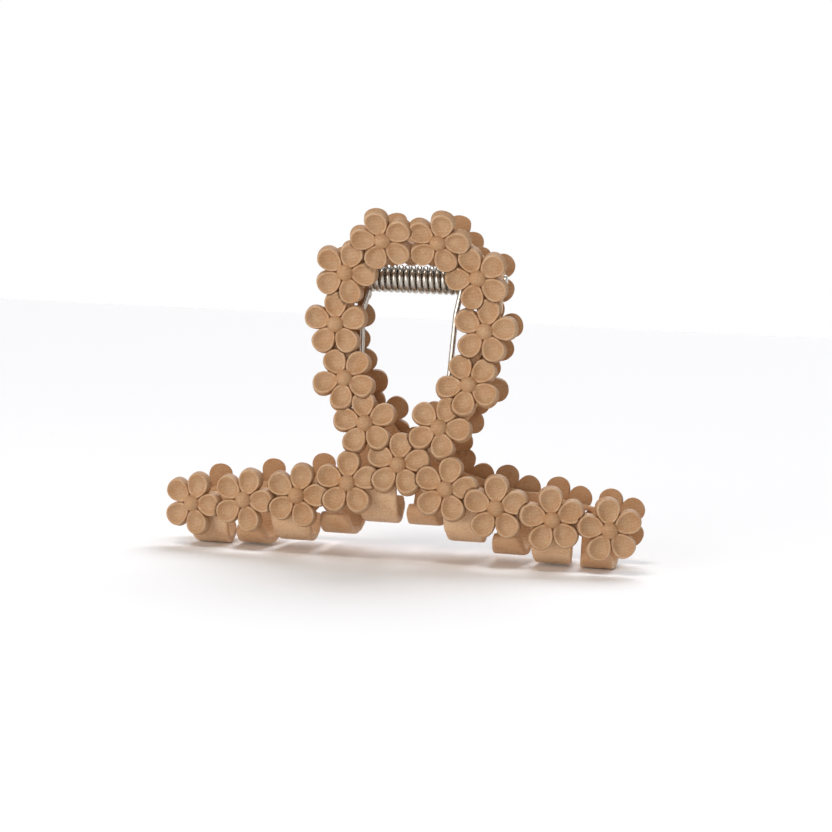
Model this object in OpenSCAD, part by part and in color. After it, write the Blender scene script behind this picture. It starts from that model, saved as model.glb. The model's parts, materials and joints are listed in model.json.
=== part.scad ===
// Flower hair clip. Two equal jaws in the outline of a tied ribbon (a loop on top, a crossing, two
// arms with curved teeth below) hinge on a pin inside a torsion spring, and carry small flowers.
// X runs along the clip, the front jaw faces -Y, and the teeth stand on Z = 0.

/* [Hinge] */
// Height of the hinge axis above the tooth tips
hinge_z = 63.5; // [63:0.5:65]
// Diameter of the hinge pin
pin_d = 2.6; // [2:0.1:2.8]
// Radial clearance between the pin and its bores
pin_gap = 0.05; // [0.03:0.01:0.1]
// Outer diameter of the hinge knuckles
knuckle_d = 5.8; // [5.4:0.1:6]
// Distance from the middle to the outer face of the outer knuckles
knuckle_out = 20.4; // [20:0.1:22]

/* [Spring] */
// Wire diameter
wire_d = 1.2; // [1:0.05:1.2]
// Mean diameter of the coil
coil_d = 5.2; // [5:0.1:5.3]
// Length of the coil between the middles of its end turns
coil_l = 22; // [21:0.5:22]
// Whole turns, besides the half turn that brings the legs to opposite sides
coil_turns = 15; // [13:1:16]

/* [Jaw strap] */
// Width of the strap under the flowers
strap_w = 4.6; // [4.4:0.2:6]
// Thickness of the strap and of the teeth
strap_t = 1.8; // [1.6:0.1:2]
// Distance of the strap's middle surface from the middle plane, at the waist of the loop
waist_out = 3.2; // [3.2:0.1:3.6]
// Distance of the strap's middle surface from the middle plane, at the arms
arm_out = 11.5; // [11:0.1:12]
// Angle from the vertical between waist and arms
lean_a = 16; // [15:1:17]
// Radius of the holes that pierce the strap between two flowers
pierce_r = 1.2; // [0.8:0.1:1.4]

/* [Teeth] */
// Distance between neighbouring teeth of the two jaws
tooth_pitch = 10; // [9.8:0.1:10.1]
// Width of a tooth at its root
tooth_w = 9.2; // [8:0.1:9.2]
// Width of a tooth at its tip
tooth_tip_w = 7.2; // [6:0.1:7.4]
// How far a tooth curls past its lowest point
tooth_curl = 54; // [45:1:60]

/* [Flowers] */
// Radius of the circle that the petals stand on
petal_ring = 4.85; // [4.7:0.05:4.9]
// Radius of a petal
petal_r = 2.85; // [2.6:0.05:2.85]
// Height of the underside of the petals above the strap, which is hollow along the flare
petal_low = 0.75; // [0.75:0.05:0.9]
// Height of the petals' rims above the strap
petal_h = 2.3; // [2.1:0.1:2.5]
// Depth of the dish in a petal
dish_depth = 0.5; // [0.2:0.05:0.6]
// Radius of the button in the middle
button_r = 1.9; // [1.7:0.05:2]
// Height of the button's top above the strap
button_h = 3.3; // [3:0.1:3.4]

/* [Hidden] */
$fn = 48;

// Side view of a jaw: a straight waist, a flare above it, and below it a bend, a slope and the
// round of the arms. All are given for the middle surface of the strap.
flare_z = 55;
flare_r = 38;
waist_z = 50;
bend_r = 32;
slope_top_z = waist_z - bend_r * sin(lean_a);
slope_top_out = waist_out + bend_r * (1 - cos(lean_a));
slope_low_z = slope_top_z - (arm_out * cos(lean_a) - slope_top_out) / tan(lean_a);
round_z = slope_low_z - arm_out * sin(lean_a);

// Plan view of an arm: straight in the middle, then curving back towards the other jaw
plan_x = 18;
plan_r = 138;

// Front flowers: name, distance from the middle, height, and the turn of the left and right one
PLACES = [
    ["top", 6.3, 73, 33, 4],
    ["upper", 15.2, 65, -3, 40],
    ["middle", 17.2, 52.6, 20, 10],
    ["lower", 14.3, 39.8, -20, -26],
    ["cross", 8.5, 30, 28, -3],
    ["arm_1", 11.2, 16.8, 19, 7],
    ["arm_2", 22.7, 13.7, 5, 19],
    ["arm_3", 35.1, 11.8, 1, 25],
    ["arm_4", 47.6, 10, 0, 26]
];
CENTRE = [0, 21.3, 15];
loop_top_z = 72.6;
SIDES = ["left", "right"];
JAWS = ["front", "back"];

// Each flower as [name, x, z, turn], in the order in which one lies over the next
FLOWERS = concat(
    [for (i = [0:4]) for (s = [0, 1]) flower_row(i, s)],
    [for (i = [8:-1:5]) flower_row(i, 1)],
    [concat(["centre"], CENTRE)],
    [for (i = [5:8]) flower_row(i, 0)]
);

front_teeth = [-4.5, -2.5, -0.5, 1.5, 3.5] * tooth_pitch;
knuckle_t = 2.4;
knuckle_gap = 0.4;
knuckle_in = 12;
web_in = 3.3;
web_t = 0.9;
web_h = 5.2;
lug_drop = 7;
peg_r = 0.8;
leg_low_z = 37.5;
front_leg_x = 9;
back_leg_x = 12.4;
front_bow_x = 10;
back_bow_x = 12.6;
bow_z = 56;
leg_end_x = 14;
eps = 0.01;

function flower_row(i, s) = [
    str(PLACES[i][0], "_", SIDES[s]), (2 * s - 1) * PLACES[i][1], PLACES[i][2], PLACES[i][3 + s]
];

// Distance of the strap from the middle plane, and its tilt, at height z
function side_out(z) =
    z > flare_z ? waist_out + flare_r * (1 - cos(side_tilt(z)))
    : z > waist_z ? waist_out
    : z > slope_top_z ? waist_out + bend_r * (1 - cos(side_tilt(z)))
    : z > slope_low_z ? slope_top_out + (slope_top_z - z) * tan(lean_a)
    : arm_out * cos(side_tilt(z));
function side_tilt(z) =
    z > flare_z ? -asin((z - flare_z) / flare_r)
    : z > waist_z ? 0
    : z > slope_top_z ? asin((waist_z - z) / bend_r)
    : z > slope_low_z ? lean_a
    : asin((z - round_z) / arm_out);

// How far an arm has curved back at x, and the angle it faces there
function plan_turn(x) = abs(x) < plan_x ? 0 : sign(x) * asin((abs(x) - plan_x) / plan_r);
function plan_drop(x) = plan_r * (1 - cos(plan_turn(x)));

function is_arm(x, z) = abs(x) > plan_x && z < 30;
function strap_out(x, z) = is_arm(x, z) ? arm_out - plan_drop(x) : side_out(z);
function strap_tilt(x, z) = is_arm(x, z) ? 0 : side_tilt(z);

// Smooth curve through the points p, at parameter t from 0 to the number of spans
function curve_at(p, t) =
    let (i = min(floor(t), len(p) - 4), u = t - i)
    ((2 * p[i + 1]) + (p[i + 2] - p[i]) * u
        + (2 * p[i] - 5 * p[i + 1] + 4 * p[i + 2] - p[i + 3]) * u * u
        + (3 * p[i + 1] - p[i] - 3 * p[i + 2] + p[i + 3]) * u * u * u) / 2;
function unit(v) = v / norm(v);
function side_of(v) = [-v[1], v[0]];

// Middle line of half the ribbon: from the top of the loop down its left limb, through the
// crossing and out along the right arm
half_line = concat(
    [[PLACES[0][1], PLACES[0][2]], [0, loop_top_z]],
    [for (i = [0:4]) [-PLACES[i][1], PLACES[i][2]]],
    [[CENTRE[0], CENTRE[1]]],
    [for (i = [5:8]) [PLACES[i][1], PLACES[i][2]]],
    [[60, 8.6]]
);
spans = len(half_line) - 3;
steps = 6;

// Puts its children on the strap at (x, z), with +Z outwards
module on_strap(x, z) {
    translate([x, -strap_out(x, z), z])
        rotate([90 - strap_tilt(x, z), 0, plan_turn(is_arm(x, z) ? x : 0)])
            children();
}

// ---- Jaw frame ----

module half_ribbon() {
    line = [for (k = [0:spans * steps]) curve_at(half_line, k / steps)];
    ahead = [for (k = [0:len(line) - 1])
        unit(line[min(k + 1, len(line) - 1)] - line[max(k - 1, 0)])];
    one = [for (k = [0:len(line) - 1]) line[k] + side_of(ahead[k]) * strap_w / 2];
    other = [for (k = [len(line) - 1:-1:0]) line[k] - side_of(ahead[k]) * strap_w / 2];
    polygon(concat(one, other));
}

module ribbon_outline() {
    half_ribbon();
    mirror([1, 0]) half_ribbon();
    for (s = [-1, 1]) translate([s * PLACES[8][1], PLACES[8][2]]) circle(r = strap_w / 2);
}

// Side view of the strap as an outline in (y, z)
module side_outline() {
    heights = [each [10:20], 24, 30, 36, each [40:2:50], each [55:2:81]];
    function edge(z, s) = [
        -side_out(z) - s * cos(side_tilt(z)) * strap_t / 2, z + s * sin(side_tilt(z)) * strap_t / 2
    ];
    polygon(concat(
        [for (z = heights) edge(z, 1)],
        [for (k = [len(heights) - 1:-1:0]) edge(heights[k], -1)]
    ));
}

// Plan view of the arms as an outline in (x, y)
module plan_outline() {
    places = [for (x = [-54:3:54]) x];
    function edge(x, s) = [
        x + s * sin(plan_turn(x)) * strap_t / 2,
        plan_drop(x) - arm_out - s * cos(plan_turn(x)) * strap_t / 2
    ];
    polygon(concat(
        [for (x = places) edge(x, 1)],
        [for (k = [len(places) - 1:-1:0]) edge(places[k], -1)]
    ));
}

module strap() {
    intersection() {
        translate([0, 20, 0]) rotate([90, 0, 0]) linear_extrude(40) ribbon_outline();
        union() {
            translate([-plan_x - 0.5, 0, 0])
                rotate([90, 0, 90]) linear_extrude(2 * plan_x + 1) side_outline();
            translate([-30, 0, 0])
                rotate([90, 0, 90]) linear_extrude(60)
                    intersection() {
                        side_outline();
                        translate([-30, 25]) square([60, 60]);
                    }
            for (s = [-1, 1])
                intersection() {
                    linear_extrude(22) plan_outline();
                    translate([s > 0 ? plan_x : -plan_x - 40, -30, 0]) cube([40, 40, 22]);
                }
        }
    }
}

// Lowest point of the tooth at x: the teeth follow the arch of the arms
function foot_z(x) = pow(4.5 * tooth_pitch - abs(x), 2) / 220;
function tooth_r(x) =
    let (z = foot_z(x) + strap_t / 2 + arm_out)
    strap_out(is_arm(x, z) ? abs(x) + tooth_w / 2 : x, z);

module tooth(x) {
    r = tooth_r(x);
    outer = r + strap_t / 2;
    tip_y = r * sin(tooth_curl);
    root_y = -0.8 * r;
    corner = 1.6;
    translate([x, 0, foot_z(x) + outer])
        intersection() {
            translate([-tooth_w, 0, 0])
                rotate([90, 0, 90]) linear_extrude(2 * tooth_w)
                    difference() {
                        circle(r = outer);
                        circle(r = r - strap_t / 2);
                        polygon(concat([[0, 0]],
                            [for (a = [-90 + tooth_curl:15:172]) 20 * [cos(a), sin(a)]],
                            [20 * [cos(172), sin(172)]]));
                    }
            translate([0, 0, -20]) linear_extrude(40)
                polygon([
                    [-tooth_w / 2, -outer - 1], [tooth_w / 2, -outer - 1], [tooth_w / 2, root_y],
                    [tooth_tip_w / 2, tip_y - corner], [tooth_tip_w / 2 - corner, tip_y + 1],
                    [corner - tooth_tip_w / 2, tip_y + 1], [-tooth_tip_w / 2, tip_y - corner],
                    [-tooth_w / 2, root_y]
                ]);
        }
}

// A knuckle from x0 to x1, with the web that carries it
module knuckle(x0, x1, web_x) {
    back = web_in + web_t;
    translate([x0, 0, hinge_z]) rotate([0, 90, 0]) cylinder(d = knuckle_d, h = x1 - x0);
    translate([x0, -back, hinge_z - web_h / 2]) cube([x1 - x0, back, web_h]);
    translate([min(x0, web_x), -back, hinge_z - web_h / 2])
        cube([max(x1, web_x) - min(x0, web_x), web_t, web_h]);
}

module knuckles() {
    knuckle(knuckle_out - knuckle_t, knuckle_out, 14);
    translate([knuckle_out - knuckle_t, -web_in, hinge_z - lug_drop])
        cube([knuckle_t, web_in, lug_drop]);
    knuckle(-(knuckle_out - knuckle_t - knuckle_gap), -knuckle_in, -16);
}

// Hook on the inner side of the strap that holds the end of the spring's leg
module keeper() {
    wall = 1.1;
    inner = side_out(leg_low_z) - strap_t / 2;
    leg_y = -coil_d / 2;
    far_y = leg_y + wire_d / 2 + 0.15;
    low_z = leg_low_z - wire_d / 2 - 0.15 - wall;
    translate([leg_end_x - 2, -inner - 0.6, low_z]) cube([3, far_y + wall + inner + 0.6, wall]);
    translate([leg_end_x - 2, far_y, low_z]) cube([3, wall, wall + wire_d]);
}

module pierced_holes() {
    for (i = [1:spans - 1]) {
        p = curve_at(half_line, i + 0.5);
        for (s = [-1, 1])
            on_strap(s * p[0], p[1]) translate([0, 0, -3]) cylinder(r = pierce_r, h = 6);
    }
    on_strap(0, loop_top_z) translate([0, 0, -3]) cylinder(r = pierce_r, h = 6);
}

module sockets() {
    for (f = FLOWERS)
        on_strap(f[1], f[2]) translate([0, 0, -3]) cylinder(r = peg_r + pin_gap, h = 6);
}

module jaw_frame() {
    difference() {
        union() {
            difference() {
                strap();
                pierced_holes();
            }
            for (x = front_teeth) tooth(x);
            knuckles();
            keeper();
        }
        sockets();
        translate([-30, 0, hinge_z]) rotate([0, 90, 0]) cylinder(d = pin_d + 2 * pin_gap, h = 60);
    }
}

module front_frame() {
    color("tan") jaw_frame();
}

module back_frame() {
    color("peru") rotate([0, 0, 180]) jaw_frame();
}

// ---- Hinge pin: a rod with a flat head at each end ----

module hinge_pin() {
    head_t = 0.7;
    head_d = 4;
    head_x = knuckle_out + pin_gap;
    color("silver") translate([0, 0, hinge_z]) rotate([0, 90, 0]) {
        cylinder(d = pin_d, h = 2 * head_x + 2 * eps, center = true);
        for (x = [-head_x - head_t, head_x]) translate([0, 0, x]) cylinder(d = head_d, h = head_t);
    }
}

// ---- Torsion spring: a wire swept along its middle line ----

coil_r = coil_d / 2;
ring_steps = 14;
wire_sides = 6;
coil_angle = 360 * coil_turns + 180;

// The leg on the +X side, from the coil down past bow_x and low_x to its end in the keeper
function leg_points(bow_x, low_x) = [
    [coil_l / 2, -coil_r, hinge_z - 2], [bow_x, -coil_r, bow_z],
    [low_x, -coil_r, leg_low_z + 1.2], [low_x + 0.35, -coil_r, leg_low_z + 0.35],
    [low_x + 1.2, -coil_r, leg_low_z], [leg_end_x + 1, -coil_r, leg_low_z]
];
function half_turn(p) = [-p[0], -p[1], p[2]];
function coil_point(a) = [
    -coil_l / 2 + coil_l * a / coil_angle, coil_r * cos(a), hinge_z + coil_r * sin(a)
];
function reversed(list) = [for (k = [len(list) - 1:-1:0]) list[k]];
spring_line = concat(
    reversed([for (p = leg_points(back_bow_x, back_leg_x)) half_turn(p)]),
    [for (k = [0:ring_steps * (coil_turns + 0.5)]) coil_point(360 * k / ring_steps)],
    leg_points(front_bow_x, front_leg_x)
);

// Rings of points round a line: each ring stands across the line, turned to face the X axis
function ring_at(line, k) =
    let (
        t = unit(line[min(k + 1, len(line) - 1)] - line[max(k - 1, 0)]),
        u = unit(cross(t, abs(t[0]) < 0.9 ? [1, 0, 0] : [0, 1, 0])),
        v = cross(t, u)
    )
    [for (i = [0:wire_sides - 1])
        line[k] + (u * cos(360 * i / wire_sides) + v * sin(360 * i / wire_sides)) * wire_d / 2];

module swept_wire(line) {
    n = len(line);
    m = wire_sides;
    points = [for (k = [0:n - 1]) for (p = ring_at(line, k)) p];
    walls = [for (k = [0:n - 2]) for (i = [0:m - 1])
        [k * m + i, k * m + (i + 1) % m, (k + 1) * m + (i + 1) % m, (k + 1) * m + i]];
    triangles = [for (w = walls) each [[w[0], w[1], w[2]], [w[0], w[2], w[3]]]];
    ends = [[for (i = [m - 1:-1:0]) i], [for (i = [0:m - 1]) (n - 1) * m + i]];
    polyhedron(points, concat(triangles, ends));
}

module spring() {
    color("gainsboro") swept_wire(spring_line);
}

// ---- Flowers ----

module petals(r, low, high) {
    for (k = [0:4])
        rotate([0, 0, 72 * k]) translate([petal_ring, 0, low]) cylinder(r = r, h = high - low);
}

module flower_body() {
    dish_r = (pow(petal_r - 0.5, 2) + dish_depth * dish_depth) / (2 * dish_depth);
    difference() {
        union() {
            petals(petal_r, petal_low, petal_h);
            translate([0, 0, petal_low]) cylinder(r = 2.5, h = petal_h - petal_low - 0.3);
        }
        for (k = [0:4])
            rotate([0, 0, 72 * k])
                translate([petal_ring, 0, petal_h - dish_depth + dish_r]) sphere(r = dish_r);
    }
    difference() {
        translate([0, 0, button_h - button_r]) sphere(r = button_r);
        translate([-3, -3, -6 + petal_low]) cube(6);
    }
    cylinder(r = 1.7, h = petal_low + eps);
    translate([0, 0, -strap_t]) cylinder(r = peg_r, h = strap_t + petal_low);
}

function near(a, b) = norm([a[1] - b[1], a[2] - b[2]]) < 2 * (petal_ring + petal_r);

// Flower i, cut back where the petals of the flowers before it lie
module jaw_flower(i) {
    f = FLOWERS[i];
    difference() {
        on_strap(f[1], f[2])
            translate([0, 0, strap_t / 2]) rotate([0, 0, f[3]]) flower_body();
        if (i > 0)
            for (k = [0:i - 1])
                if (near(f, FLOWERS[k]))
                    on_strap(FLOWERS[k][1], FLOWERS[k][2])
                        translate([0, 0, strap_t / 2]) rotate([0, 0, FLOWERS[k][3]])
                            petals(petal_r + 0.1, -1, petal_h + 1.5);
    }
}

front_frame();
back_frame();
hinge_pin();
spring();
for (i = [0:len(FLOWERS) - 1]) {
    color("burlywood") jaw_flower(i);
    color("burlywood") rotate([0, 0, 180]) jaw_flower(i);
}
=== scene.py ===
"""Flower hair clip: moulded jaws, five-petal flowers, a torsion spring and its pin, on a pale floor."""
import json
import math

import bmesh
import bpy
from mathutils import Matrix, Vector


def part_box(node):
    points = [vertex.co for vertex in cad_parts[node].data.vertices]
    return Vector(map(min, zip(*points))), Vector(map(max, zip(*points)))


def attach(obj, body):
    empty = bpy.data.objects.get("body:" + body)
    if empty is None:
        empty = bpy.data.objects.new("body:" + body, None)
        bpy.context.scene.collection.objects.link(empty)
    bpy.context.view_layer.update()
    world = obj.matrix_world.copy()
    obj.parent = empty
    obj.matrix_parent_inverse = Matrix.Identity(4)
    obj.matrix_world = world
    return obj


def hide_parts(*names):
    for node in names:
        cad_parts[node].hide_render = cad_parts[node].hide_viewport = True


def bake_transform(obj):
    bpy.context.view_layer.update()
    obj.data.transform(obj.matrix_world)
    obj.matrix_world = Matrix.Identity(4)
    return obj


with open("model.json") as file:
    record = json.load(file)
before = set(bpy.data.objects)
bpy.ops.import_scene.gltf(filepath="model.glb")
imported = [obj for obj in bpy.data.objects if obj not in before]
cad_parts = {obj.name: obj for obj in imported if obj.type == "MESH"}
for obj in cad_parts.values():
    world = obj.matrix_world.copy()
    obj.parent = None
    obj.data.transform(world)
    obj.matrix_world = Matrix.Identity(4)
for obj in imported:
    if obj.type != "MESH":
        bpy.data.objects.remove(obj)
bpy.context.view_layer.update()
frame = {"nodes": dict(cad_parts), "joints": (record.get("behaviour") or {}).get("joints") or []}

bl_info = {
    "name": "Flower Hair Clip",
    "version": (1, 0, 0),
    "blender": (4, 5, 0),
    "location": "3D View > Sidebar > Hair Clip",
    "description": "Builds the looks of a flower-covered claw clip around its packed frame",
    "category": "Add Mesh",
}

MM = 0.001
JAWS = {"front": "front_jaw", "back": "back_jaw"}
FLOWER_NODES = [name for name in frame["nodes"] if "_flower_" in name]
HINGE = Vector(frame["joints"][0]["pos_m"])


# ---- Sizes and colours that a user would change ----

class ClipSizes(bpy.types.PropertyGroup):
    """Sizes of the clip's pieces, in metres"""
    flower_radius: bpy.props.FloatProperty(
        name="Flower radius", description="From the middle to a petal's tip",
        default=7.7 * MM, unit="LENGTH")
    petal_length: bpy.props.FloatProperty(
        name="Petal length", description="From under the button to the petal's tip",
        default=6.4 * MM, unit="LENGTH")
    petal_width: bpy.props.FloatProperty(
        name="Petal width", description="Width of a petal before it is drawn out to an egg",
        default=5.55 * MM, unit="LENGTH")
    petal_taper: bpy.props.FloatProperty(
        name="Petal taper", description="How much wider a petal is at its tip than in the middle",
        default=0.2)
    petal_cup: bpy.props.FloatProperty(
        name="Petal cup", description="How far the petals rise towards their tips",
        default=math.radians(6), subtype="ANGLE")
    petal_twist: bpy.props.FloatProperty(
        name="Petal twist", description="How far a petal leans about its own length",
        default=math.radians(0.4), subtype="ANGLE")
    petal_floor: bpy.props.FloatProperty(
        name="Petal underside", description="Underside of a petal above the strap",
        default=0.75 * MM, unit="LENGTH")
    petal_height: bpy.props.FloatProperty(
        name="Petal height", description="Thickness of a petal at the crest of its rim",
        default=2.15 * MM, unit="LENGTH")
    dish_depth: bpy.props.FloatProperty(
        name="Dish depth", description="How deep a petal is dished", default=1.0 * MM, unit="LENGTH")
    button_radius: bpy.props.FloatProperty(
        name="Button radius", description="Radius of the button's dome",
        default=1.95 * MM, unit="LENGTH")
    button_height: bpy.props.FloatProperty(
        name="Button height", description="Top of the button above the strap",
        default=3.3 * MM, unit="LENGTH")
    wire: bpy.props.FloatProperty(
        name="Wire", description="Diameter of the spring's wire", default=1.25 * MM, unit="LENGTH")
    coil: bpy.props.FloatProperty(
        name="Coil", description="Mean diameter of the spring's coil",
        default=5.2 * MM, unit="LENGTH")
    coil_length: bpy.props.FloatProperty(
        name="Coil length", description="Between the middles of the end turns",
        default=22 * MM, unit="LENGTH")
    coil_turns: bpy.props.IntProperty(
        name="Turns", description="Whole turns of the coil", default=15, min=4, max=20)
    leg_foot: bpy.props.FloatProperty(
        name="Leg foot", description="Height of the spring's foot in its keeper",
        default=37.5 * MM, unit="LENGTH")
    front_bow: bpy.props.FloatProperty(
        name="Front leg's bow", description="How far out the front leg passes below the coil",
        default=10 * MM, unit="LENGTH")
    back_bow: bpy.props.FloatProperty(
        name="Back leg's bow", description="How far out the back leg passes below the coil",
        default=12.6 * MM, unit="LENGTH")
    bow_level: bpy.props.FloatProperty(
        name="Level of the bows", description="Height at which the legs bow out",
        default=56 * MM, unit="LENGTH")
    front_leg: bpy.props.FloatProperty(
        name="Front leg", description="Where the leg at the front jaw ends, from the middle",
        default=9 * MM, unit="LENGTH")
    back_leg: bpy.props.FloatProperty(
        name="Back leg", description="Where the leg at the back jaw ends, from the middle",
        default=12.4 * MM, unit="LENGTH")
    leg_reach: bpy.props.FloatProperty(
        name="Leg reach", description="How far out the foot ends", default=15.0 * MM, unit="LENGTH")
    mould_voxel: bpy.props.FloatProperty(
        name="Mould grain", description="Cell size that rounds the jaws' edges",
        default=0.3 * MM, unit="LENGTH")


class ClipColours(bpy.types.PropertyGroup):
    """Colours of the clip's finishes"""
    body: bpy.props.FloatVectorProperty(
        name="Body", description="Matte light brown of the mouldings", subtype="COLOR",
        default=(0.42, 0.255, 0.138))
    # Jaws: the moulded brown made lighter for the straps and teeth, partly as painted light for the
    # brightly lit teeth
    jaw: bpy.props.FloatVectorProperty(
        name="Jaws", description="Smoother and lighter moulding of the straps and teeth",
        subtype="COLOR", default=(0.74, 0.50, 0.31))
    # Pale: the grain's light speckles, and the rims' rubbed wear and painted highlight
    pale: bpy.props.FloatVectorProperty(
        name="Rim", description="Rubbed rims and high spots", subtype="COLOR",
        default=(0.62, 0.43, 0.275))
    # Deep: the grain's dark speckles, and the colour of the painted shade in the crevices, petal feet
    # and the jaws' inner faces
    deep: bpy.props.FloatVectorProperty(
        name="Crevice", description="Stain that stays in the crevices", subtype="COLOR",
        default=(0.38, 0.155, 0.042))
    steel: bpy.props.FloatVectorProperty(
        name="Steel", description="Drawn spring wire", subtype="COLOR", default=(0.52, 0.48, 0.42))
    floor: bpy.props.FloatVectorProperty(
        name="Floor", description="Plain pale floor", subtype="COLOR", default=(0.96, 0.96, 0.96))


class StageSettings(bpy.types.PropertyGroup):
    """Camera and light"""
    azimuth: bpy.props.FloatProperty(
        name="Azimuth", description="Turn of the camera round the clip",
        default=math.radians(10.0), subtype="ANGLE")
    elevation: bpy.props.FloatProperty(
        name="Elevation", description="Camera's angle above the horizon",
        default=math.radians(6.0), subtype="ANGLE")
    roll: bpy.props.FloatProperty(
        name="Roll", description="Turn of the camera about its own view",
        default=math.radians(2.6), subtype="ANGLE")
    distance: bpy.props.FloatProperty(
        name="Distance", description="From the camera to its target", default=0.454, unit="LENGTH")
    lens: bpy.props.FloatProperty(name="Lens", description="Focal length, mm", default=85.0)
    target: bpy.props.FloatVectorProperty(
        name="Target", description="Point that the camera is aimed at", subtype="TRANSLATION",
        default=(0.00219, 0.0, 0.01518))
    shift: bpy.props.FloatProperty(
        name="Shift", description="Upward shift of the frame, in frame widths", default=0.089)
    sun: bpy.props.FloatProperty(
        name="Key", description="Strength of the soft key light from behind and above", default=2.2)
    fill: bpy.props.FloatProperty(
        name="Fill", description="Power of the low fill light from the front left, W", default=3.2)
    top: bpy.props.FloatProperty(
        name="Top", description="Strength of the light from above the front", default=0.9)
    sky: bpy.props.FloatProperty(name="Sky", description="Brightness of the sky overhead", default=0.22)


# ---- Small helpers ----

def deselect_all():
    """Leaves edit mode and clears the selection."""
    if bpy.context.object and bpy.context.object.mode != "OBJECT":
        bpy.ops.object.mode_set(mode="OBJECT")
    bpy.ops.object.select_all(action="DESELECT")


def activate(obj):
    """Makes obj the only selected and the active object."""
    deselect_all()
    obj.select_set(True)
    bpy.context.view_layer.objects.active = obj


def select_faces(obj, test):
    """In edit mode, selects the faces of obj that pass the test."""
    mesh = bmesh.from_edit_mesh(obj.data)
    bpy.ops.mesh.select_mode(type="FACE")
    bpy.ops.mesh.select_all(action="DESELECT")
    for face in mesh.faces:
        if test(face):
            face.select_set(True)
    mesh.select_flush_mode()
    bmesh.update_edit_mesh(obj.data)


def apply_modifier(obj, kind, **settings):
    """Adds a modifier to obj, sets it and applies it."""
    activate(obj)
    modifier = obj.modifiers.new(kind.title(), kind)
    for key, value in settings.items():
        setattr(modifier, key, value)
    bpy.ops.object.modifier_apply(modifier=modifier.name)


def settle(obj):
    """Puts obj's place into its mesh."""
    activate(obj)
    bpy.ops.object.transform_apply(location=True, rotation=True, scale=True)


def smooth_step(low, high, value):
    """0 below low, 1 above high, and a smooth rise between them."""
    t = min(1.0, max(0.0, (value - low) / (high - low)))
    return t * t * (3 - 2 * t)


# ---- Shader expressions ----

class Socket:
    """A shader socket or a number, on which Python's operators build Math nodes."""

    def __init__(self, tree, out):
        self.tree = tree
        self.out = out

    def node(self, kind, settings=None, output=0, **inputs):
        """Adds a node, sets it, fills its sockets by name and returns one of its outputs."""
        made = self.tree.nodes.new(kind)
        for key, value in (settings or {}).items():
            if key == "stops":
                set_stops(made.color_ramp, value)
            else:
                setattr(made, key, value)
        for key, value in inputs.items():
            target = made.inputs[int(key[1:])] if key[0] == "_" else made.inputs[key.replace("_", " ")]
            if isinstance(value, Socket):
                self.tree.links.new(value.out, target)
            else:
                target.default_value = value
        return Socket(self.tree, made.outputs[output])

    def math(self, operation, first, second=0.0):
        """One Math node."""
        return self.node("ShaderNodeMath", {"operation": operation}, _0=first, _1=second)

    def __add__(self, other):
        return self.math("ADD", self, other)

    __radd__ = __add__

    def __mul__(self, other):
        return self.math("MULTIPLY", self, other)

    __rmul__ = __mul__

    def ramp(self, *stops):
        """The value through a colour ramp, as (position, grey) stops."""
        return self.node("ShaderNodeValToRGB", {"stops": stops}, Fac=self)

    def mix(self, first, second):
        """From the first colour to the second by this value."""
        return self.node(
            "ShaderNodeMix", {"data_type": "RGBA"}, output=2, _0=self, _6=first, _7=second)


def set_stops(ramp, stops):
    """Puts (position, grey) stops on a colour ramp."""
    while len(ramp.elements) < len(stops):
        ramp.elements.new(0.5)
    for element, (place, grey) in zip(ramp.elements, stops):
        element.position = place
        element.color = (grey, grey, grey, 1)


def colour4(colour):
    """A colour property as four numbers."""
    return (*colour, 1.0)


def new_material(name, colour, **constants):
    """A material with a Principled shader: returns it, the shader and a socket to build on."""
    material = bpy.data.materials.new(name)
    material.use_nodes = True
    material.diffuse_color = colour4(colour)
    shader = material.node_tree.nodes["Principled BSDF"]
    shader.inputs["Base Color"].default_value = colour4(colour)
    for key, value in constants.items():
        shader.inputs[key.replace("_", " ")].default_value = value
    return material, shader, Socket(material.node_tree, None)


def plug(material, shader, name, value):
    """Links a socket into one of the shader's inputs."""
    material.node_tree.links.new(value.out, shader.inputs[name])


def moulded_material(name, colours, body):
    """Matte moulded plastic with a wood-like grain: speckle and short fibres, rims lightened as rubbed
    wear and painted highlight, crevices darkened with painted shade. The rims and the painted shade
    come from an attribute of the piece's own mesh."""
    material, shader, make = new_material(
        name, body, Roughness=0.6, Specular_IOR_Level=0.25)
    place = make.node("ShaderNodeTexCoord", output=3)
    speck = make.node("ShaderNodeTexNoise", Vector=place, Scale=2900.0, Detail=4.0, Roughness=0.75)
    cloud = make.node("ShaderNodeTexNoise", Vector=place, Scale=260.0, Detail=3.0, Roughness=0.5)
    grain = make.node("ShaderNodeTexWave", {"bands_direction": "Z"}, output=1, Vector=place,
                      Scale=1000.0, Distortion=3.0, Detail=2.0, Detail_Scale=1.5)
    tone = speck * 0.62 + grain * 0.14 + cloud * 0.24
    light = tone.ramp((0.47, 0.0), (0.68, 1.0))
    dark = tone.ramp((0.36, 1.0), (0.50, 0.0))
    colour = (light * 0.65).mix(colour4(body), colour4(colours.pale))
    colour = (dark * 0.75).mix(colour, colour4(colours.deep))
    # The mesh's attribute: red lightens the rims (rubbed wear and painted highlight), green adds
    # painted shade
    finish = make.node("ShaderNodeAttribute", {"attribute_name": "finish"})
    rim = make.node("ShaderNodeSeparateColor", output=0, Color=finish)
    crevice = make.node("ShaderNodeSeparateColor", output=1, Color=finish)
    # Rims towards the pale colour: rubbed wear and painted highlight
    colour = (rim * (0.45 + light * 0.45)).mix(colour, colour4(colours.pale))
    # Painted shade towards the deep colour in the crevices, petal feet and the jaws' inner faces
    colour = (crevice * (0.5 + dark * 0.4)).mix(colour, colour4(colours.deep))
    plug(material, shader, "Base Color", colour)
    plug(material, shader, "Roughness", 0.52 + speck * 0.2)
    height = speck * 0.7 + grain * 0.3
    bump = make.node("ShaderNodeBump", Strength=0.35, Distance=0.00012, Height=height)
    plug(material, shader, "Normal", bump)
    return material


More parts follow.
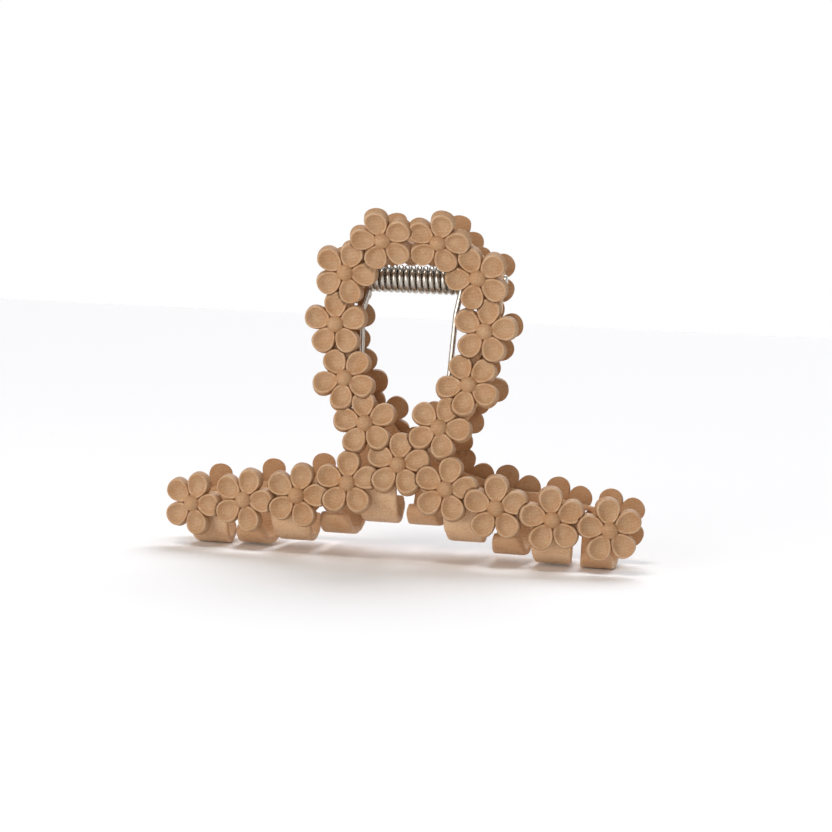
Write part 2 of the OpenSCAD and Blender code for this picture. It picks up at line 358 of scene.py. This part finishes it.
def steel_material(colours):
    """Bright drawn wire, with fine scratches and dull smudges."""
    material, shader, make = new_material(
        "drawn_steel", colours.steel, Metallic=1.0, Roughness=0.24)
    place = make.node("ShaderNodeTexCoord", output=3)
    scratch_place = make.node("ShaderNodeMapping", Vector=place, Scale=(1.0, 0.15, 0.15))
    scratch = make.node("ShaderNodeTexNoise", Vector=scratch_place, Scale=9000.0, Detail=2.0)
    smudge = make.node("ShaderNodeTexNoise", Vector=place, Scale=700.0, Detail=2.0)
    plug(material, shader, "Roughness", 0.16 + scratch * 0.14 + smudge * 0.08)
    dull = smudge.ramp((0.45, 0.0), (0.75, 1.0))
    plug(material, shader, "Base Color", (dull * 0.35).mix(
        colour4(colours.steel), (0.30, 0.28, 0.26, 1)))
    bump = make.node("ShaderNodeBump", Strength=0.12, Distance=0.00004, Height=scratch)
    plug(material, shader, "Normal", bump)
    return material


def paint(obj, material):
    """Gives obj that one material."""
    obj.data.materials.clear()
    obj.data.materials.append(material)


# ---- Flowers ----

# The flowers of a jaw, in the order in which one lies over the next
LAYERS = (
    "top_left", "top_right", "upper_left", "upper_right", "middle_left", "middle_right",
    "lower_left", "lower_right", "cross_left", "cross_right",
    "arm_4_right", "arm_3_right", "arm_2_right", "arm_1_right", "centre",
    "arm_1_left", "arm_2_left", "arm_3_left", "arm_4_left")
FIFTH = math.radians(72)

# Section of a petal from its foot to the middle of its dish: how far each ring lies inside the one
# before it, in mm, and its height, as a share of the wall or of the dish
WALL = ((0.05, 0.30), (0.07, 0.30), (0.11, 0.24), (0.14, 0.13), (0.12, 0.03))
DISH = ((0.20, 0.06), (0.30, 0.20), (0.38, 0.30), (0.40, 0.26), (0.37, 0.18))
CUP_PIVOT = 3.2 * MM

# A petal under a neighbour is pressed to this height, with this share of its own form left above it,
# as far as this share of the neighbour's outline
PRESSED = 0.1 * MM
FORM_LEFT = 0.1
COVERED = 0.97


def layer_of(node):
    """The place of a flower's node in the order of the layers."""
    return LAYERS.index(node.split("_flower_")[1])


def seat_of(node):
    """Where a flower sits: the matrix that takes the master flower there. The underside of the
    petals gives its direction, the end of the peg its middle, and the petals' tips its turn."""
    mesh = frame["nodes"][node].data
    sizes = bpy.context.scene.clip_sizes
    areas = {}
    for face in mesh.polygons:
        key = tuple(round(v, 2) for v in face.normal)
        areas[key] = areas.get(key, 0.0) + face.area
    down = Vector(max(areas, key=areas.get)).normalized()
    flat = [f for f in mesh.polygons if f.normal.dot(down) > 0.998]
    down = sum((f.normal * f.area for f in flat), Vector()).normalized()
    flat = [f for f in mesh.polygons if f.normal.dot(down) > 0.9999]
    low = max(f.center.dot(down) for f in flat)
    peg = [f for f in flat if f.center.dot(down) > low - 0.1 * MM]
    under = [f for f in flat if f.center.dot(down) < low - 0.1 * MM]
    middle = sum((f.center * f.area for f in peg), Vector()) / sum(f.area for f in peg)
    height = sum(f.center.dot(down) * f.area for f in under) / sum(f.area for f in under)
    middle += down * (height + sizes.petal_floor - middle.dot(down))
    up = -down
    right = Vector((0, 0, 1)).cross(up).normalized()
    top = up.cross(right)
    spots = [complex((v.co - middle).dot(right), (v.co - middle).dot(top)) for v in mesh.vertices]
    reach = max(abs(spot) for spot in spots)
    wave = sum((spot / abs(spot)) ** 5 for spot in spots if abs(spot) > reach - 0.1 * MM)
    turn = math.atan2(wave.imag, wave.real) / 5
    axes = Matrix((right, top, up)).transposed().to_4x4()
    return Matrix.Translation(middle) @ axes @ Matrix.Rotation(turn, 4, "Z")


def petal_spot(place, sizes):
    """Where a point of the flower lies on its petal: the distance from the petal's middle, where 1
    is the outline, the angle from the petal's axis, and the height above the petal's foot."""
    radius = math.hypot(place.x, place.y)
    angle = math.atan2(place.y, place.x)
    angle -= round(angle / FIFTH) * FIFTH
    half = sizes.petal_length / 2
    out = radius * math.cos(angle)
    along = (out - (sizes.flower_radius - half)) / half
    across = radius * math.sin(angle) / (sizes.petal_width / 2)
    across /= 1 + sizes.petal_taper * max(-1.0, min(1.0, along))
    level = place.z - (out - CUP_PIVOT) * math.tan(sizes.petal_cup)
    return math.hypot(along, across), angle, level


def make_petal(sizes):
    """One petal lying along +X: a disc raised ring by ring to its rim and into its dish, and drawn
    out to an egg with its narrow end under the button."""
    deselect_all()
    half = sizes.petal_length / 2
    middle = sizes.flower_radius - half
    bpy.ops.mesh.primitive_circle_add(
        vertices=32, radius=half, fill_type="NGON", location=(middle, 0, 0))
    petal = bpy.context.object
    settle(petal)
    bpy.ops.object.mode_set(mode="EDIT")
    bpy.ops.mesh.select_mode(type="FACE")
    bpy.ops.mesh.select_all(action="SELECT")
    bpy.ops.mesh.extrude_region_move(TRANSFORM_OT_translate={"value": (0, 0, 0.02 * MM)})
    wall = sizes.petal_height - 0.02 * MM
    for inward, rise in WALL:
        bpy.ops.mesh.inset(thickness=inward * MM, depth=rise * wall)
    for inward, drop in DISH:
        bpy.ops.mesh.inset(thickness=inward * MM, depth=-drop * sizes.dish_depth)
    bpy.ops.mesh.poke()
    bpy.ops.mesh.select_all(action="SELECT")
    bpy.ops.transform.resize(value=(1, sizes.petal_width / sizes.petal_length, 1),
                             center_override=(middle, 0, 0))
    egg = bmesh.from_edit_mesh(petal.data)
    for vertex in egg.verts:
        vertex.co.y *= 1 + sizes.petal_taper * (vertex.co.x - middle) / half
    bmesh.update_edit_mesh(petal.data)
    bpy.ops.mesh.normals_make_consistent(inside=False)
    bpy.ops.object.mode_set(mode="OBJECT")
    apply_modifier(petal, "SUBSURF", levels=1, render_levels=1)
    activate(petal)
    petal.rotation_euler = (sizes.petal_twist, -sizes.petal_cup, 0)
    petal.location.z = -CUP_PIVOT * math.tan(sizes.petal_cup)
    settle(petal)
    return petal


def make_button(sizes):
    """The domed button in the middle."""
    deselect_all()
    radius = sizes.button_radius
    bpy.ops.mesh.primitive_uv_sphere_add(
        segments=32, ring_count=18, radius=radius, location=(0, 0, sizes.button_height - radius))
    button = bpy.context.object
    settle(button)
    bpy.ops.object.mode_set(mode="EDIT")
    bpy.ops.mesh.select_all(action="SELECT")
    bpy.ops.mesh.bisect(plane_co=(0, 0, sizes.petal_floor + 0.1 * MM), plane_no=(0, 0, 1),
                        use_fill=True, clear_inner=True)
    bpy.ops.object.mode_set(mode="OBJECT")
    return button


def make_core(sizes):
    """The low round plate between the petals, with the peg under it."""
    deselect_all()
    radius = 3.4 * MM
    rise = 0.5 * MM
    collar_radius = 1.7 * MM
    peg_radius = 0.8 * MM
    peg_length = 1.7 * MM
    bpy.ops.mesh.primitive_cylinder_add(
        vertices=40, radius=radius, depth=rise, location=(0, 0, sizes.petal_floor + rise / 2))
    core = bpy.context.object
    settle(core)
    bpy.ops.object.mode_set(mode="EDIT")
    select_faces(core, lambda f: f.normal.z < -0.9)
    bpy.ops.mesh.inset(thickness=radius - collar_radius, depth=0)
    bpy.ops.mesh.extrude_region_move(
        TRANSFORM_OT_translate={"value": (0, 0, -sizes.petal_floor)})
    bpy.ops.mesh.inset(thickness=collar_radius - peg_radius, depth=0)
    bpy.ops.mesh.extrude_region_move(TRANSFORM_OT_translate={"value": (0, 0, -peg_length)})
    bpy.ops.object.mode_set(mode="OBJECT")
    return core


def unite(base, others):
    """Boolean union of base with each of the others, which are used up."""
    for other in others:
        apply_modifier(base, "BOOLEAN", operation="UNION", solver="EXACT", object=other)
        bpy.data.objects.remove(other)
    return base


def mark_wear_and_painted_light(flower, sizes):
    """Marks the rims (red: rubbed wear and painted highlight) and the painted shade (green: crevices,
    petal feet, dish edges, the ring round the button) of the flower in its attribute.
    """
    layer = flower.data.color_attributes.new("finish", "FLOAT_COLOR", "POINT")
    button_edge = 0.96 * sizes.button_radius
    for vertex, item in zip(flower.data.vertices, layer.data):
        radius = math.hypot(vertex.co.x, vertex.co.y)
        edge, angle, level = petal_spot(vertex.co, sizes)
        on_button = radius < button_edge and vertex.co.z > 1.9 * MM
        height = level / sizes.petal_height
        # Rims' crests lighter: rubbed wear and painted highlight
        rim = 0.0 if on_button else smooth_step(0.72, 0.84, edge) * smooth_step(0.7, 0.95, height)
        # Painted shade: low walls at each petal's foot, a ring at the dish's edge, the creases between
        # petals and the ring round the button; the button gets a quarter of it all over
        foot = 1 - smooth_step(0.05, 0.55, height)
        dish_edge = max(0.0, 1 - abs(edge - 0.70) / 0.13) * 0.3
        crease = smooth_step(0.6, 1.0, abs(angle) / (FIFTH / 2)) \
            * (1 - smooth_step(4.2 * MM, 5.4 * MM, radius))
        collar = max(0.0, 1 - abs(radius - sizes.button_radius) / (0.4 * MM))
        crevice = 0.25 if on_button else min(1.0, max(dish_edge, 0.5 * foot, 0.8 * crease, collar))
        item.color = (rim, crevice, 0.0, 1.0)


def make_master_flower(sizes):
    """The flower that all are copies of, standing at the origin and facing +Z."""
    petals = []
    for k in range(5):
        petal = make_petal(sizes)
        activate(petal)
        petal.rotation_euler.z = k * FIFTH
        settle(petal)
        petals.append(petal)
    flower = unite(make_core(sizes), petals + [make_button(sizes)])
    activate(flower)
    bpy.ops.object.mode_set(mode="EDIT")
    bpy.ops.mesh.select_all(action="SELECT")
    bpy.ops.mesh.remove_doubles(threshold=0.001 * MM)
    bpy.ops.mesh.normals_make_consistent(inside=False)
    whole = all(edge.is_manifold for edge in bmesh.from_edit_mesh(flower.data).edges)
    bpy.ops.object.mode_set(mode="OBJECT")
    if not whole:
        raise RuntimeError("the petals did not unite into one closed flower")
    mark_wear_and_painted_light(flower, sizes)
    activate(flower)
    bpy.ops.object.shade_smooth_by_angle(angle=math.radians(35))
    return flower


def tuck(flower, seat, seats_above, sizes):
    """Presses the petals of a flower down where a neighbour's petals lie over them."""
    for above in seats_above:
        there = above.inverted() @ seat
        if there.translation.length > 2 * sizes.flower_radius:
            continue
        back = there.inverted()
        for vertex in flower.data.vertices:
            spot = there @ vertex.co
            near = math.hypot(spot.x, spot.y) < sizes.flower_radius + PRESSED
            if near and spot.z > PRESSED and petal_spot(spot, sizes)[0] < COVERED:
                spot.z = PRESSED + FORM_LEFT * (spot.z - PRESSED)
                vertex.co = back @ spot


class CLIP_OT_flowers(bpy.types.Operator):
    """Model one flower and set a copy of it on every seat of both jaws"""
    bl_idname = "clip.flowers"
    bl_label = "Flowers"

    def execute(self, context):
        """Builds the master flower, copies it to each flower node and removes the master."""
        sizes = context.scene.clip_sizes
        colours = context.scene.clip_colours
        material = moulded_material("moulded_flower", colours, colours.body)
        master = make_master_flower(sizes)
        paint(master, material)
        seats = {node: seat_of(node) for node in FLOWER_NODES}
        for node, seat in seats.items():
            side = node.split("_")[0]
            flower = master.copy()
            flower.data = master.data.copy()
            flower.name = flower.data.name = node.replace("_flower_", "_blossom_")
            context.collection.objects.link(flower)
            tuck(flower, seat, [other_seat for other, other_seat in seats.items()
                                if other.startswith(side) and layer_of(other) < layer_of(node)], sizes)
            flower.data.transform(seat)
            flower.data.update()
            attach(flower, JAWS[side])
            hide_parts(node)
        bpy.data.objects.remove(master)
        return {"FINISHED"}


# ---- Jaws ----

def paint_inner_shade(jaw, inward):
    """Paints shade on the surfaces that face the other jaw, through the crevice (green) channel of the
    jaw's attribute.
    """
    layer = jaw.data.color_attributes.new("finish", "FLOAT_COLOR", "POINT")
    for vertex, item in zip(jaw.data.vertices, layer.data):
        item.color = (0.0, 0.75 * smooth_step(0.1, 0.7, inward * vertex.normal.y), 0.0, 1.0)


class CLIP_OT_jaws(bpy.types.Operator):
    """Round the two jaw mouldings, colour them and paint shade on their inner faces"""
    bl_idname = "clip.jaws"
    bl_label = "Jaws"

    def execute(self, context):
        """Copies each jaw's solid, melts its edges round and smooths it."""
        sizes = context.scene.clip_sizes
        colours = context.scene.clip_colours
        material = moulded_material("moulded_jaw", colours, colours.jaw)
        for side, body in JAWS.items():
            node = side + "_frame"
            jaw = frame["nodes"][node].copy()
            jaw.data = frame["nodes"][node].data.copy()
            jaw.parent = None
            jaw.matrix_world = Matrix.Identity(4)
            jaw.name = jaw.data.name = side + "_moulding"
            context.collection.objects.link(jaw)
            activate(jaw)
            bpy.ops.object.mode_set(mode="EDIT")
            bpy.ops.mesh.select_all(action="SELECT")
            bpy.ops.mesh.remove_doubles(threshold=0.001 * MM)
            bpy.ops.object.mode_set(mode="OBJECT")
            apply_modifier(jaw, "REMESH", mode="VOXEL", voxel_size=sizes.mould_voxel)
            apply_modifier(jaw, "SMOOTH", factor=0.5, iterations=18)
            activate(jaw)
            bpy.ops.object.shade_smooth()
            # Painted shade on the faces towards the other jaw
            paint_inner_shade(jaw, 1 if side == "front" else -1)
            paint(jaw, material)
            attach(jaw, body)
            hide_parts(node)
        return {"FINISHED"}


# ---- Spring and pin ----

def leg_route(sizes, bow_x, low_x):
    """Points of the +X leg, from the coil past bow_x and low_x to its foot in the keeper."""
    end_x = sizes.coil_length / 2
    side = -sizes.coil / 2
    foot = sizes.leg_foot
    bend = 1.2 * MM
    points = [Vector((end_x, side, HINGE.z - 2 * MM)), Vector((bow_x, side, sizes.bow_level))]
    for k in range(7):
        angle = math.radians(15 * k)
        points.append(Vector((low_x + bend * (1 - math.cos(angle)), side,
                              foot + bend * (1 - math.sin(angle)))))
    points.append(Vector((sizes.leg_reach, side, foot)))
    return points


def spring_route(sizes):
    """Points of the whole wire: one leg, the coil, the other leg."""
    half_turn = Matrix.Rotation(math.pi, 3, "Z")
    steps = 24
    total = int(steps * (sizes.coil_turns + 0.5))
    coil = []
    for k in range(total + 1):
        angle = 2 * math.pi * k / steps
        coil.append(Vector((sizes.coil_length * (k / total - 0.5),
                            sizes.coil / 2 * math.cos(angle),
                            HINGE.z + sizes.coil / 2 * math.sin(angle))))
    back_leg = leg_route(sizes, sizes.back_bow, sizes.back_leg)
    front_leg = leg_route(sizes, sizes.front_bow, sizes.front_leg)
    return [half_turn @ p for p in reversed(back_leg)] + coil + front_leg


class CLIP_OT_spring(bpy.types.Operator):
    """Wind the torsion spring from one wire, with both its legs"""
    bl_idname = "clip.spring"
    bl_label = "Spring"

    def execute(self, context):
        """Draws the wire along its route."""
        sizes = context.scene.clip_sizes
        deselect_all()
        bpy.ops.curve.primitive_nurbs_path_add()
        wire = bpy.context.object
        wire.name = "torsion_spring"
        curve = wire.data
        curve.splines.clear()
        route = spring_route(sizes)
        spline = curve.splines.new("POLY")
        spline.points.add(len(route) - 1)
        for point, place in zip(spline.points, route):
            point.co = (*place, 1.0)
        curve.bevel_depth = sizes.wire / 2
        curve.bevel_resolution = 4
        curve.use_fill_caps = True
        curve.twist_mode = "MINIMUM"
        activate(wire)
        bpy.ops.object.convert(target="MESH")
        wire = bpy.context.object
        wire.data.name = "torsion_spring"
        bpy.ops.object.mode_set(mode="EDIT")
        bpy.ops.mesh.select_all(action="SELECT")
        bpy.ops.mesh.remove_doubles(threshold=0.002 * MM)
        bpy.ops.mesh.normals_make_consistent(inside=False)
        bpy.ops.object.mode_set(mode="OBJECT")
        activate(wire)
        bpy.ops.object.shade_smooth_by_angle(angle=math.radians(50))
        paint(wire, steel_material(context.scene.clip_colours))
        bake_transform(wire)
        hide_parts("spring")
        return {"FINISHED"}


class CLIP_OT_pin(bpy.types.Operator):
    """Turn the hinge pin with its two riveted heads"""
    bl_idname = "clip.pin"
    bl_label = "Hinge pin"

    def execute(self, context):
        """Shapes a rod and widens its ends into domed heads."""
        low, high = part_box("hinge_pin")
        head_r = (high[2] - low[2]) / 2
        rod_r = 1.3 * MM
        head_t = 0.7 * MM
        deselect_all()
        bpy.ops.mesh.primitive_cylinder_add(
            vertices=40, radius=rod_r, depth=high[0] - low[0] - 2 * head_t,
            location=HINGE, rotation=(0, math.radians(90), 0))
        pin = bpy.context.object
        pin.name = pin.data.name = "riveted_pin"
        settle(pin)
        for side in (-1, 1):
            activate(pin)
            bpy.ops.object.mode_set(mode="EDIT")
            select_faces(pin, lambda f: f.normal.x * side > 0.9)
            grow = head_r / rod_r
            bpy.ops.mesh.extrude_region_move()
            bpy.ops.transform.resize(value=(1, grow, grow), center_override=HINGE)
            bpy.ops.mesh.extrude_region_move(
                TRANSFORM_OT_translate={"value": (side * 0.35 * MM, 0, 0)})
            for share, step in ((0.84, 0.2), (0.72, 0.1), (0.5, 0.05)):
                bpy.ops.mesh.extrude_region_move(
                    TRANSFORM_OT_translate={"value": (side * step * MM, 0, 0)})
                bpy.ops.transform.resize(value=(1, share, share), center_override=HINGE)
            bpy.ops.object.mode_set(mode="OBJECT")
        activate(pin)
        bpy.ops.object.shade_smooth_by_angle(angle=math.radians(40))
        paint(pin, bpy.data.materials["drawn_steel"])
        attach(pin, "front_jaw")
        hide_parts("hinge_pin")
        return {"FINISHED"}


# ---- Floor, light and camera ----

def aim(obj, place, target, roll=0.0):
    """Puts obj at place, looking at target."""
    direction = Vector(target) - Vector(place)
    turn = direction.to_track_quat("-Z", "Y").to_matrix().to_4x4()
    obj.matrix_world = Matrix.Translation(place) @ turn @ Matrix.Rotation(roll, 4, "Z")


def add_light(name, kind, place, strength, size, colour=(1, 1, 1)):
    """A sun or a square area light that shines from place at the clip. A sun's size is its angle."""
    deselect_all()
    bpy.ops.object.light_add(type=kind, location=place)
    lamp = bpy.context.object
    lamp.name = name
    lamp.data.energy = strength
    lamp.data.color = colour
    if kind == "SUN":
        lamp.data.angle = size
    else:
        lamp.data.size = size
    aim(lamp, place, (0, 0, 0.03))


def add_floor(colour):
    """A plain floor just under the teeth."""
    deselect_all()
    bpy.ops.mesh.primitive_plane_add(size=6.0, location=(0, 0, -0.02 * MM))
    floor = bpy.context.object
    floor.name = "floor"
    settle(floor)
    paint(floor, new_material("pale_floor", colour, Roughness=0.9, Specular_IOR_Level=0.1)[0])


def add_sky(brightness):
    """A white horizon below a sky of that brightness."""
    world = bpy.data.worlds.new("studio")
    world.use_nodes = True
    sky = world.node_tree.nodes["Background"]
    make = Socket(world.node_tree, None)
    direction = make.node("ShaderNodeTexCoord", output=0)
    height = make.node("ShaderNodeSeparateXYZ", output=2, Vector=direction)
    band = height.ramp((0.17, 1.0), (0.30, brightness))
    world.node_tree.links.new(band.out, sky.inputs["Color"])
    bpy.context.scene.world = world


def add_camera(settings):
    """The camera, turned round its target by azimuth and elevation."""
    target = Vector(settings.target)
    azimuth, elevation = settings.azimuth, settings.elevation
    back = Vector((math.sin(azimuth) * math.cos(elevation),
                   -math.cos(azimuth) * math.cos(elevation), math.sin(elevation)))
    deselect_all()
    bpy.ops.object.camera_add()
    camera = bpy.context.object
    camera.name = "camera"
    camera.data.lens = settings.lens
    camera.data.sensor_width = 36.0
    camera.data.shift_y = settings.shift
    camera.data.clip_start = 0.01
    camera.data.clip_end = 20.0
    aim(camera, target + back * settings.distance, target, settings.roll)
    bpy.context.scene.camera = camera


class CLIP_OT_stage(bpy.types.Operator):
    """Set up the floor, the soft studio light and the camera"""
    bl_idname = "clip.stage"
    bl_label = "Stage"

    def execute(self, context):
        """Adds the stage's pieces, which aren't part of the clip."""
        settings = context.scene.clip_stage
        add_floor(context.scene.clip_colours.floor)
        add_sky(settings.sky)
        warm, cool = (1.0, 0.91, 0.83), (0.96, 1.0, 1.07)
        add_light("key", "SUN", (0.1, 1.0, 1.0), settings.sun, math.radians(45), cool)
        add_light("top", "SUN", (-0.15, -0.35, 0.8), settings.top, math.radians(20), warm)
        add_light("fill", "AREA", (-0.3, -0.65, 0.09), settings.fill, 0.5)
        context.scene.view_settings.view_transform = "Standard"
        add_camera(settings)
        return {"FINISHED"}


class CLIP_PT_panel(bpy.types.Panel):
    """Lists the clip's pieces and the stage"""
    bl_idname = "CLIP_PT_panel"
    bl_label = "Hair Clip"
    bl_space_type = "VIEW_3D"
    bl_region_type = "UI"
    bl_category = "Hair Clip"

    def draw(self, context):
        """Draws one button for each operator, with its settings."""
        for operator in OPERATORS:
            self.layout.operator(operator.bl_idname)
        for group in (context.scene.clip_sizes, context.scene.clip_colours,
                      context.scene.clip_stage):
            box = self.layout.box()
            for name in group.__annotations__:
                box.prop(group, name)


OPERATORS = (CLIP_OT_jaws, CLIP_OT_flowers, CLIP_OT_spring, CLIP_OT_pin, CLIP_OT_stage)
GROUPS = {"clip_sizes": ClipSizes, "clip_colours": ClipColours, "clip_stage": StageSettings}


def register():
    """Registers the add-on's classes and settings."""
    for name, group in GROUPS.items():
        bpy.utils.register_class(group)
        setattr(bpy.types.Scene, name, bpy.props.PointerProperty(type=group))
    for item in (*OPERATORS, CLIP_PT_panel):
        bpy.utils.register_class(item)


def unregister():
    """Removes the add-on's classes and settings."""
    for item in (*OPERATORS, CLIP_PT_panel):
        bpy.utils.unregister_class(item)
    for name, group in GROUPS.items():
        delattr(bpy.types.Scene, name)
        bpy.utils.unregister_class(group)


def main():
    """Builds every piece and the stage."""
    register()
    bpy.ops.clip.jaws()
    bpy.ops.clip.flowers()
    bpy.ops.clip.spring()
    bpy.ops.clip.pin()
    bpy.ops.clip.stage()


if __name__ == "__main__":
    main()
